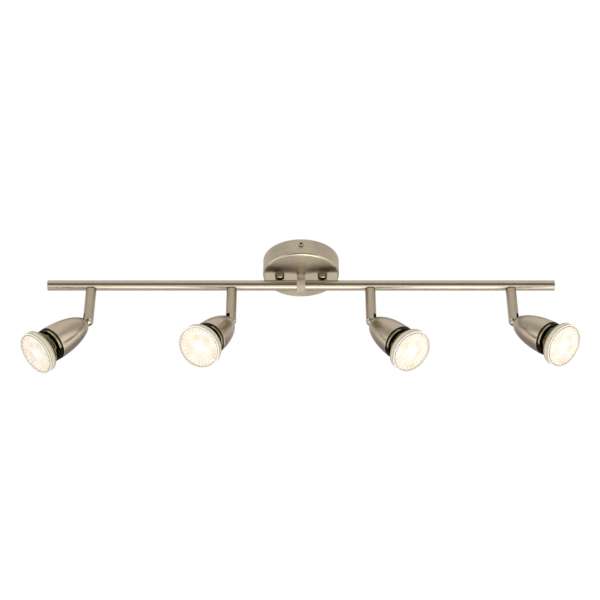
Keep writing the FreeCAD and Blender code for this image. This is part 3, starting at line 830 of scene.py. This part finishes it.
def build_rose():
    """Spun cup with its stud holes and the hole of its side screw."""
    inner = ROSE_H - ROSE_WALL
    inner_r = ROSE_R - ROSE_WALL
    corners = [(0, ROSE_R, ROSE_LIP), (ROSE_H, ROSE_R, ROSE_EDGE), (ROSE_H, POST_NECK_R, 0.1),
               (inner, POST_NECK_R, 0.1), (inner, inner_r, ROSE_EDGE - ROSE_WALL), (0, inner_r, ROSE_LIP)]
    rose = new_piece("rose_cover_shell", lathe(rounded(corners, 8), 192))
    holes = [moved(drill(inner - 2, ROSE_H + 2, STUD_HOLE_R), shift(0, side * STUD_X, 0))
             for side in (-1, 1)]
    screw_hole = drill(-3 * ROSE_WALL, 3 * ROSE_WALL, SIDE_HOLE_R, 24)
    holes.append(moved(screw_hole, shift(-SIDE_SCREW_Z, 0, ROSE_R) @ turned("Y", 90)))
    combine(rose, "DIFFERENCE", *holes)
    matrix = axes((0, 0, 0), (0, 0, -1), (1, 0, 0))
    dress(rose, matrix, "canopy", "satin_nickel", [SATIN_ROSE, SATIN_FACE], "rose_cover")

    def pick(face):
        flat = face.normal.x > 0.99 and face.center.x / MM > ROSE_H - 0.1
        return SATIN_FACE if flat else SATIN_ROSE

    paint(rose, pick)


def build_cap_nuts():
    """Domed nuts with a fine groove above their base."""
    top = CAP_NUT_H - CAP_DOME
    dome_r = (CAP_NUT_R ** 2 + CAP_DOME ** 2) / (2 * CAP_DOME)
    centre = CAP_NUT_H - dome_r
    widest = math.asin((CAP_NUT_R - 0.7) / dome_r)
    start = CAP_GROOVE_START
    groove_r = CAP_NUT_R - CAP_GROOVE_DEPTH
    corners = [(0, 0, 0), (0, CAP_NUT_R, 0.15), (start, CAP_NUT_R, 0.08), (start + 0.1, groove_r, 0),
               (start + 0.25, groove_r, 0), (start + 0.35, CAP_NUT_R, 0.08), (top, CAP_NUT_R, 0.5)]
    for step in range(13):
        angle = widest * (1 - step / 12)
        corners.append((centre + dome_r * math.cos(angle), dome_r * math.sin(angle), 0))
    outline = rounded(corners, 5)
    for side, name in ((-1, "left"), (1, "right")):
        nut = new_piece(f"cap_nut_{name}", lathe(outline, 64))
        matrix = axes((side * STUD_X, 0, -ROSE_H), (0, 0, -1), (1, 0, 0))
        # The cap nuts wear the darker, painted-shade copy of the polished nickel.
        dress(nut, matrix, "canopy", "polished_nickel", [POLISHED_NUT_SHADED], "cap_nuts")


def build_side_screw():
    """Small screw with a hexagon socket in the side of the rose."""
    outline = rounded([(-SIDE_SHANK, 0, 0), (-SIDE_SHANK, SIDE_SHANK_R, 0.3), (0, SIDE_SHANK_R, 0),
                       (0, SIDE_SCREW_R, 0.15), (SIDE_SCREW_PROUD, SIDE_SCREW_R, 0.7),
                       (SIDE_SCREW_PROUD, 0, 0)], 5)
    screw = new_piece("side_screw_head", lathe(outline, 48))
    corner = SOCKET_ACROSS / math.sqrt(3)
    turns = [math.radians(60 * step) for step in range(6)]
    sides = [(corner * math.cos(turn), corner * math.sin(turn)) for turn in turns]
    socket = prism(sides, -SIDE_SCREW_PROUD, SIDE_SCREW_PROUD)
    combine(screw, "DIFFERENCE", moved(socket, shift(SIDE_SCREW_PROUD, 0, 0) @ turned("Z", -90)))
    soften(screw, 0.08, 1)
    matrix = axes((0, -ROSE_R, SIDE_SCREW_Z), (0, -1, 0), (1, 0, 0))
    dress(screw, matrix, "canopy", "polished_nickel", [SATIN_PLAIN, SHADOWED], "side_screw")

    def pick(face):
        # The socket's inside gets the painted shade.
        inside = face.center.x > 0 and outward(face).length < corner * 0.97
        return SHADOWED if inside else SATIN_PLAIN

    paint(screw, pick)


def build_post():
    """Stem and ring in one casting, bored for the bar and the wires."""
    length = POST_TOP - BAR_Z
    ring_in = BAR_R + RING_GAP
    ring = lathe(rounded([(-RING_HALF, ring_in, 0.2), (-RING_HALF, RING_R, 0.6),
                          (RING_HALF, RING_R, 0.6), (RING_HALF, ring_in, 0.2)], 5), 96)
    neck = POST_TOP + ROSE_H
    stem = lathe([(ring_in + 0.5, 0), (ring_in + 0.5, POST_R), (length - neck, POST_R),
                  (length - neck, POST_NECK_R), (length, POST_NECK_R), (length, 0)], 64)
    upright = turned("Y", -90)
    post = new_piece("bar_post_casting", ring)
    combine(post, "UNION", moved(stem, upright))
    combine(post, "DIFFERENCE", moved(drill(ring_in - 1, length + 1, POST_BORE_R), upright))
    soften(post, 0.3, 3, 50.0)
    matrix = axes((0, 0, BAR_Z), (1, 0, 0), (0, 1, 0))
    dress(post, matrix, "canopy", "satin_nickel", [SATIN_CAST], "bar_post")


def build_bar():
    """Tube with its two pressed-in end caps."""
    inner = BAR_R - BAR_WALL
    outline = rounded([(-BAR_HALF, inner, 0.1), (-BAR_HALF, BAR_R, 0.15),
                       (BAR_HALF, BAR_R, 0.15), (BAR_HALF, inner, 0.1)], 3)
    tube = new_piece("bar_tube_drawn", lathe(outline, 128))
    holes = []
    for number in HEADS:
        x = (low(f"stalk_{number}").x + high(f"stalk_{number}").x) / 2
        holes.append(moved(drill(0, BAR_R + 1, LEAD_HOLE_R), shift(x, 0, 0) @ turned("Y", 90)))
    holes.append(moved(drill(0, BAR_R + 1, POST_BORE_R), turned("Y", -90)))
    combine(tube, "DIFFERENCE", *holes)
    matrix = axes((0, 0, BAR_Z), (1, 0, 0), (0, 1, 0))
    dress(tube, matrix, "canopy", "satin_nickel", [SATIN], "bar_tube")
    fit_r = inner - 0.02
    outline = rounded([(-CAP_SPIGOT, 0, 0), (-CAP_SPIGOT, fit_r, 0.4), (0, fit_r, 0), (0, BAR_R, 0.15),
                       (CAP_WALL, BAR_R, 0.4), (CAP_WALL, 0, 0)], 4)
    for side, name in ((-1, "left"), (1, "right")):
        cap = new_piece(f"end_cap_{name}", lathe(outline, 96))
        matrix = axes((side * BAR_HALF, 0, BAR_Z), (side, 0, 0), (0, 1, 0))
        dress(cap, matrix, "canopy", "satin_nickel", [SATIN], "end_caps")


# ---- stalks and heads

def build_stalk(number, pivot, hinge):
    """Tube with a pan bearing in its top and a slotted round end for the hinge."""
    turns = [math.pi / 2 * step / 16 for step in range(17)]
    corners = [(-STALK_R * math.cos(turn), STALK_R * math.sin(turn), 0) for turn in turns]
    corners += [(STALK_TOP, STALK_R, 0.3), (STALK_TOP, PAN_BORE_R, 0.1),
                (STALK_TOP - STALK_LID, PAN_BORE_R, 0), (STALK_TOP - STALK_LID, STALK_BORE_R, 0),
                (SLOT_TOP, STALK_BORE_R, 0), (SLOT_TOP, 0, 0)]
    stalk = new_piece(f"stalk_tube_{number}", lathe(rounded(corners, 3), 64))
    slot = prism([(SLOT_TOP + 1, 0), (SLOT_TOP + 1, -PAST_STALK), (-PAST_STALK, -PAST_STALK),
                  (-PAST_STALK, SLOT_FLOOR), (0, SLOT_FLOOR), (SLOT_BACK * 0.7, SLOT_BACK * 0.7)],
                 -SLOT_HALF, SLOT_HALF)
    cutters = [slot, moved(drill(-PAST_STALK, PAST_STALK, PIN_R), turned("Z", 90))]
    for side in (-1, 1):
        seat = drill(PIN_SEAT, PAST_STALK, PIN_HEAD_R + 0.2, 40)
        cutters.append(moved(seat, turned("Z", side * 90)))
    combine(stalk, "DIFFERENCE", *cutters)
    soften(stalk, 0.22, 2)
    matrix = axes(pivot, (0, 0, 1), hinge)
    dress(stalk, matrix, f"arm_{number}", "satin_nickel", [SATIN], f"stalk_{number}")


def build_pin(number, pivot, hinge):
    """Rivet of the hinge: a domed head on the viewer's side and a flat tail."""
    facing = -1 if hinge.y > 0 else 1
    outline = rounded([(-PIN_SEAT - PIN_TAIL_H, 0, 0), (-PIN_SEAT - PIN_TAIL_H, PIN_TAIL_R, 0.4),
                       (-PIN_SEAT, PIN_TAIL_R, 0), (-PIN_SEAT, PIN_R, 0), (PIN_SEAT, PIN_R, 0),
                       (PIN_SEAT, PIN_HEAD_R, 0.15), (PIN_SEAT + PIN_HEAD_H, PIN_HEAD_R, 1.5),
                       (PIN_SEAT + PIN_HEAD_H, 0, 0)], 6)
    pin = new_piece(f"hinge_rivet_{number}", lathe(outline, 48))
    matrix = axes(pivot, hinge * facing, (0, 0, 1))
    dress(pin, matrix, f"arm_{number}", "polished_nickel", [POLISHED], f"hinge_pin_{number}")


def ellipse_side(wall, steps):
    """Outline of the shell, from back to front, at a wall's depth inside its outer face."""
    reach = SHELL_SWEEP - wall
    height = SHELL_R - wall
    back = math.acos((SHELL_FRONT - SHELL_BACK - wall) / reach)
    angles = [back + (math.pi / 2 - back) * step / steps for step in range(steps + 1)]
    return [(SHELL_FRONT - reach * math.cos(angle), height * math.sin(angle)) for angle in angles]


def build_shell(number, matrix):
    """Bullet-shaped shell with a rolled front edge."""
    outer = ellipse_side(0.0, 40)
    inner = ellipse_side(SHELL_WALL, 30)
    corner = outer[1]
    back = rounded([(SHELL_BACK, SPIGOT_R, 0), (SHELL_BACK, outer[0][1], 1.0), (*corner, 0)], 6)[:-1]
    edge = rounded([(*outer[-2], 0), (SHELL_FRONT, SHELL_R, 0.35),
                    (SHELL_FRONT, SHELL_R - SHELL_WALL, 0.25), (*inner[-2], 0)], 4)[1:-1]
    outline = back + outer[2:-1] + edge + inner[-2::-1] + [(SHELL_BACK + SHELL_WALL, SPIGOT_R)]
    shell = new_piece(f"head_shell_spun_{number}", lathe(outline, 144))
    materials = [SATIN_SHELL, SATIN_INSIDE_SHADED]
    dress(shell, matrix, f"head_{number}", "satin_nickel", materials, f"head_shell_{number}")
    paint(shell, lambda face: SATIN_INSIDE_SHADED if outward(face).dot(face.normal) < 0 else SATIN_SHELL)


def build_collar(number, matrix):
    """Ring in the shell's mouth with an upper and a lower tab."""
    floor_r = COLLAR_OUT - COLLAR_GROOVE
    outline = rounded([(COLLAR_X0, COLLAR_IN, 0.2), (COLLAR_X0, COLLAR_OUT, 0.2),
                       (SHELL_FRONT, COLLAR_OUT, 0), (SHELL_FRONT + 0.1, floor_r, 0),
                       (COLLAR_GROOVE_END, floor_r, 0), (COLLAR_GROOVE_END + 0.1, COLLAR_OUT, 0.1),
                       (COLLAR_X1, COLLAR_OUT, 0.25), (COLLAR_X1, COLLAR_IN, 0.25)], 3)
    collar = new_piece(f"front_collar_ring_{number}", lathe(outline, 128))
    width = math.pi - WINDOW_ANGLE
    for centre in (math.pi / 2, -math.pi / 2):
        tab = lathe([(SHELL_FRONT, TAB_IN), (SHELL_FRONT, TAB_OUT), (TAB_END, TAB_OUT - 0.3),
                     (TAB_END, TAB_IN + 0.2)], 36, start=centre - width / 2, sweep=width)
        combine(collar, "UNION", tab)
    soften(collar, 0.22, 2, 50.0)
    materials = [COLLAR, SATIN_INSIDE_SHADED, SATIN_SHELL, GROOVE_SHADE]
    dress(collar, matrix, f"head_{number}", "black_collar", materials, f"front_collar_{number}")

    def pick(face):
        along = face.center.x / MM
        reach = outward(face).length
        if reach > COLLAR_OUT + 0.25:
            around = outward(face).normalized().cross(Vector((1, 0, 0)))
            return SATIN_SHELL if abs(face.normal.dot(around)) > 0.5 else COLLAR
        # The groove is real; its dark bronze floor is painted shade.
        if SHELL_FRONT < along < COLLAR_GROOVE_END and reach > COLLAR_IN + 0.2:
            return GROOVE_SHADE
        return COLLAR if along > COLLAR_X1 + 0.1 else SATIN_INSIDE_SHADED

    paint(collar, pick)


# ---- lamps

def bowed(along, start, end, bulge):
    """Radius on a shallow curve from start to end (along, radius) that bows towards the axis."""
    share = (along - start[0]) / (end[0] - start[0])
    return start[1] + (end[1] - start[1]) * share - bulge * 4 * share * (1 - share)


def flank(steps):
    """Outside of the lamp's flared body, from its base to the groove."""
    places = [BASE_X1 + (FLARE_X1 - BASE_X1) * step / steps for step in range(steps + 1)]
    ends = (BASE_X1, BASE_R), (FLARE_X1, FLARE_R)
    return [(x, bowed(x, *ends, FLARE_BULGE)) for x in places]


def bore(along):
    """Inside radius of the lamp's glass."""
    return bowed(along, (BASE_X1, BASE_R - GLASS_WALL), (LENS_X0, LEDGE_R), INNER_BULGE)


def ribs(along, radius, angle):
    """Two rows of short ribs round the lamp's rim."""
    if not RIB_X0 < along < RIB_X1 or radius < RIM_BACK_R - 0.1:
        return along, radius
    row = abs(math.sin(math.pi * 2 * (along - RIB_X0) / (RIB_X1 - RIB_X0)))
    column = abs(math.sin(RIBS * angle / 2))
    return along, radius - RIB_DEPTH * (1 - min(1.0, 1.6 * row) * column)


def build_glass(number, matrix):
    """Flared glass body, a groove, and a deep ribbed rim with the lens's ledge inside."""
    shares = [step / 24 for step in range(1, 24)]
    band = [(RIM_X0 + (RIM_X1 - RIM_X0) * share, RIM_BACK_R + (RIM_R - RIM_BACK_R) * share, 0)
            for share in shares]
    corners = [(x, radius, 0) for x, radius in flank(16)[:-1]]
    corners += [(FLARE_X1, FLARE_R, 0.3), (FLARE_X1, GROOVE_R, 0.2), (RIM_X0, GROOVE_R, 0.2),
                (RIM_X0, RIM_BACK_R, 0.25)] + band
    corners += [(RIM_X1, RIM_R, 0.4), (RIM_X1, LENS_R, 0.3), (LENS_X0, LENS_R, 0),
                (LENS_X0, LEDGE_R, 0.15)]
    inner = [LENS_X0 - (LENS_X0 - BASE_X1) * step / 16 for step in range(1, 17)]
    corners += [(x, bore(x), 0) for x in inner]
    glass = new_piece(f"lamp_glass_body_{number}", lathe(rounded(corners, 3), RIBS * 6, ribs))
    dress(glass, matrix, f"lamp_{number}", "lamp_glass", [GLASS, RIM], f"lamp_glass_{number}")

    def pick(face):
        in_rim = face.center.x / MM > RIM_X0 - 0.05 and outward(face).length > GROOVE_R
        return RIM if in_rim else GLASS

    paint(glass, pick)


def build_reflector(number, matrix):
    """Thin bowl inside the glass, dark on its outside as painted shade."""
    start = BASE_X1 + REFLECTOR_GAP
    length = OPTIC_BACK - REFLECTOR_GAP - start
    places = [start + length * step / 16 for step in range(17)]
    back = [(x, bore(x) - REFLECTOR_GAP) for x in places]
    front = [(x, radius - REFLECTOR_WALL) for x, radius in back[::-1]]
    bowl = new_piece(f"lamp_reflector_{number}", lathe(back + front, 144))
    dress(bowl, matrix, f"lamp_{number}", "lamp_glass", [REFLECTOR_SHADE])


def petals(along, radius, angle):
    """Facets on the optic's face: a ring of broad ones and a ring of long petals outside it."""
    if along < RELIEF_X0:
        return along, radius
    outer = min(1.0, max(0.0, (radius - PETAL_START_R) / 3.0))
    inner = min(1.0, max(0.0, (radius - FACET_START_R) / 2.0)) * (1 - outer)
    petal = abs(math.sin(PETALS * angle / 2 + 0.4 * math.sin(radius))) * outer
    facet = abs(math.sin(RING_FACETS * angle / 2)) * inner
    return along - PETAL_DEPTH * (1 - petal) * outer - 0.4 * PETAL_DEPTH * facet, radius


def build_optic(number, matrix):
    """Facetted plate close behind the lens, with a deep pale skirt inside the ribbed rim."""
    edge = bore(OPTIC_FRONT) - OPTIC_GAP - 0.2
    shoulder = OPTIC_FRONT - 1.0
    corners = [(OPTIC_BACK, 0, 0), (OPTIC_BACK, bore(OPTIC_BACK) - OPTIC_GAP, 0),
               (shoulder, bore(shoulder) - OPTIC_GAP, 0)]
    for step in range(21):
        share = 1 - step / 20
        sink = OPTIC_SINK * math.sin(math.pi * share)
        corners.append((OPTIC_FRONT - 0.2 - sink, DOME_R + (edge - DOME_R) * share, 0))
    corners.append((OPTIC_FRONT - 0.6, 0, 0))
    plate = new_piece(f"lamp_optic_{number}", lathe(rounded(corners, 3), PETALS * 10, petals))
    dress(plate, matrix, f"lamp_{number}", "lamp_lens", [OPTIC])


def build_emitter(number, matrix):
    """Light source: a low dome in the middle of the optic."""
    corners = [(DOME_SEAT, 0, 0), (DOME_SEAT, DOME_R, 0)]
    for step in range(1, 11):
        angle = math.pi / 2 * step / 10
        corners.append((DOME_SEAT + DOME_H * math.sin(angle), DOME_R * math.cos(angle), 0))
    dome = new_piece(f"lamp_emitter_{number}", lathe(rounded(corners, 3), 64))
    dress(dome, matrix, f"lamp_{number}", "lamp_lens", [EMITTER])


def build_lens(number, matrix):
    """Front glass, very slightly domed, with a step round its edge."""
    edge = LENS_R - LENS_GAP
    step_x = RIM_X1 - LENS_SET
    corners = [(LENS_X0, 0, 0), (LENS_X0, edge, 0.15), (step_x, edge, 0.2), (step_x, edge - 0.7, 0.1)]
    for step in range(12, -1, -1):
        share = step / 12
        corners.append((RIM_X1 + LENS_DOME * (1 - share ** 2), (edge - 0.9) * share, 0))
    lens = new_piece(f"lamp_lens_front_{number}", lathe(rounded(corners, 3), 128))
    dress(lens, matrix, f"lamp_{number}", "lamp_lens", [LENS], f"lamp_lens_{number}")


def build_base(number, matrix):
    """Moulded base of the lamp with cooling grooves."""
    corners = [(BASE_X0, 0, 0), (BASE_X0, BASE_TOE_R, 0.4), (BASE_HEEL_X, BASE_HEEL_R, 0.3)]
    for step in range(COOLING_GROOVES):
        start = COOLING_START + COOLING_PITCH * step
        ledge = min(BASE_R, BASE_HEEL_R + 0.2 + (start - BASE_HEEL_X) * 0.19)
        floor_r = ledge - COOLING_DEPTH
        corners += [(start, ledge, 0.1), (start + 0.2, floor_r, 0), (start + 0.7, floor_r, 0),
                    (start + 0.9, ledge, 0.1)]
    corners += [(BASE_WIDE_X, BASE_R, 0.2), (BASE_X1, BASE_R, 0.2), (BASE_X1, 0, 0)]
    base = new_piece(f"lamp_base_moulded_{number}", lathe(rounded(corners, 3), 96))
    dress(base, matrix, f"lamp_{number}", "lamp_moulding", [LAMP_MOULDING], f"lamp_base_{number}")


def build_heads():
    """Stalk, head and lamp, four times."""
    for number in HEADS:
        pivot, lamp_way, hinge = head_axes(number)
        build_stalk(number, pivot, hinge)
        build_pin(number, pivot, hinge)
        matrix = axes(pivot, lamp_way, hinge)
        for build in (build_shell, build_collar, build_base, build_glass, build_reflector,
                      build_optic, build_emitter, build_lens):
            build(number, matrix)


# ---- CAD nodes that stay

def dress_frame():
    """Give the CAD nodes that stay their materials: plain satin nickel unless listed here."""
    zinc_plated = ("ceiling_bracket", "bracket_studs", "bracket_nuts", "bracket_screws", "post_nut",
                   "pan_nipples", "pan_nuts")
    finishes = dict.fromkeys(zinc_plated, ZINC)
    finishes |= {"terminal_block": TERMINAL, "terminal_clamps": BRASS, "trunk_wires": WIRES}
    for number in HEADS:
        finishes |= {f"lampholder_{number}": CERAMIC, f"holder_screws_{number}": ZINC,
                     f"lamp_pins_{number}": ZINC}
    for name, node in frame["nodes"].items():
        material = finishes.get(name, SATIN_PLAIN)
        if not node.data.materials:
            node.data.materials.append(material)
        for place in range(len(node.data.materials)):
            node.data.materials[place] = material


# ---- studio

def build_floor():
    """White round floor with a faint grain, evenly lit."""
    disc = bmesh.new()
    bmesh.ops.create_circle(disc, cap_ends=True, segments=96, radius=FLOOR_R)
    floor = new_piece("floor", disc)
    floor.location = (0, 0, FLOOR_Z)
    finish = Finish("floor", Emission_Strength=0.42)
    grain = finish.mottle(0.05)
    tint = finish.colours(grain, (0.3, (0.88, 0.88, 0.87)), (0.7, (0.90, 0.90, 0.89)))
    finish.colour(tint)
    finish.glow(tint)
    finish.roughness(finish.between(grain, 0.7, 0.8))
    floor.data.materials.append(finish.material)
    floor.visible_glossy = False


def elevation_ramp(tools, height, stops):
    """Grey by the height of a direction; stops are (degrees above level, value)."""
    places = [((math.sin(math.radians(degrees)) + 1) / 2, tuple(value * channel for channel in WARM))
              for degrees, value in stops]
    return tools.colours(height, *places)


def build_world():
    """White for the camera; for the metal, a room that is dark at eye level on the viewer's side."""
    world = bpy.data.worlds.new("studio")
    world.use_nodes = True
    bpy.context.scene.world = world
    world.node_tree.nodes.clear()
    tools = Nodes(world.node_tree)
    direction = tools.node("ShaderNodeTexCoord").outputs["Generated"]
    x, y, z = tools.parts(direction)
    height = tools.span(z, -1.0, 1.0)
    level = tools.math("SQRT", tools.total(tools.times(x, x), tools.times(y, y)))
    facing = tools.math("DIVIDE", tools.times(y, -1.0), tools.math("MAXIMUM", level, 0.001))
    near = elevation_ramp(tools, height, NEAR_STOPS)
    side = elevation_ramp(tools, height, SIDE_STOPS)
    far = elevation_ramp(tools, height, FAR_STOPS)
    room = tools.mix(tools.span(facing, -0.2, -0.7, smooth=True), side, far)
    room = tools.mix(tools.span(facing, 0.57, 0.91, smooth=True), room, near)
    aim = tools.node("ShaderNodeVectorMath", operation="DOT_PRODUCT")
    tools.feed(aim.inputs[0], direction)
    aim.inputs[1].default_value = Vector(GLOW_AIM).normalized()
    glow = tools.span(aim.outputs["Value"], math.cos(math.radians(GLOW_EDGE)),
                      math.cos(math.radians(GLOW_CORE)), smooth=True)
    room = tools.mix(glow, room, tuple(GLOW * channel for channel in WARM))
    paths = tools.node("ShaderNodeLightPath").outputs
    fresh = tools.span(paths["Glossy Depth"], 1.2, 2.5, 1.0, 0.08)
    room = tools.mix(fresh, (0.02, 0.015, 0.008), room)
    unmirrored = tools.math("LESS_THAN", paths["Glossy Depth"], 0.5)
    through = tools.times(paths["Is Transmission Ray"], unmirrored)
    seen = tools.math("MAXIMUM", paths["Is Camera Ray"], through)
    light = tools.node("ShaderNodeBackground")
    tools.feed(light.inputs["Color"], tools.mix(seen, room, (1, 1, 1)))
    tools.feed(tools.node("ShaderNodeOutputWorld").inputs["Surface"], light.outputs[0])


def build_light(name, place, size, power):
    """Large soft area light, aimed at the middle of the fitting."""
    data = bpy.data.lights.new(name, "AREA")
    data.shape = "RECTANGLE"
    data.size = size
    data.size_y = size * 0.6
    data.energy = power
    data.color = LAMPLIGHT
    lamp = bpy.data.objects.new(name, data)
    lamp.visible_glossy = False
    lamp.location = place
    lamp.rotation_euler = (Vector(MIDDLE) - Vector(place)).to_track_quat("-Z", "Y").to_euler()
    bpy.context.scene.collection.objects.link(lamp)


def build_camera():
    """Camera at the viewing angle: in front and below, looking up."""
    data = bpy.data.cameras.new("camera")
    data.lens = CAMERA_LENS
    data.sensor_width = SENSOR
    data.clip_start = 0.01
    camera = bpy.data.objects.new("camera", data)
    camera.location = CAMERA_PLACE
    camera.rotation_euler = (math.radians(90 + CAMERA_RISE), 0, 0)
    bpy.context.scene.collection.objects.link(camera)
    bpy.context.scene.camera = camera
    bpy.context.scene.view_settings.view_transform = "Standard"


build_camera()
build_world()
build_light("key", (-1.2, -1.5, 0.6), size=1.0, power=6.0)
build_light("fill", (1.4, -1.2, -1.2), size=1.0, power=5.0)
build_floor()
dress_frame()
build_rose()
build_cap_nuts()
build_side_screw()
build_post()
build_bar()
build_heads()
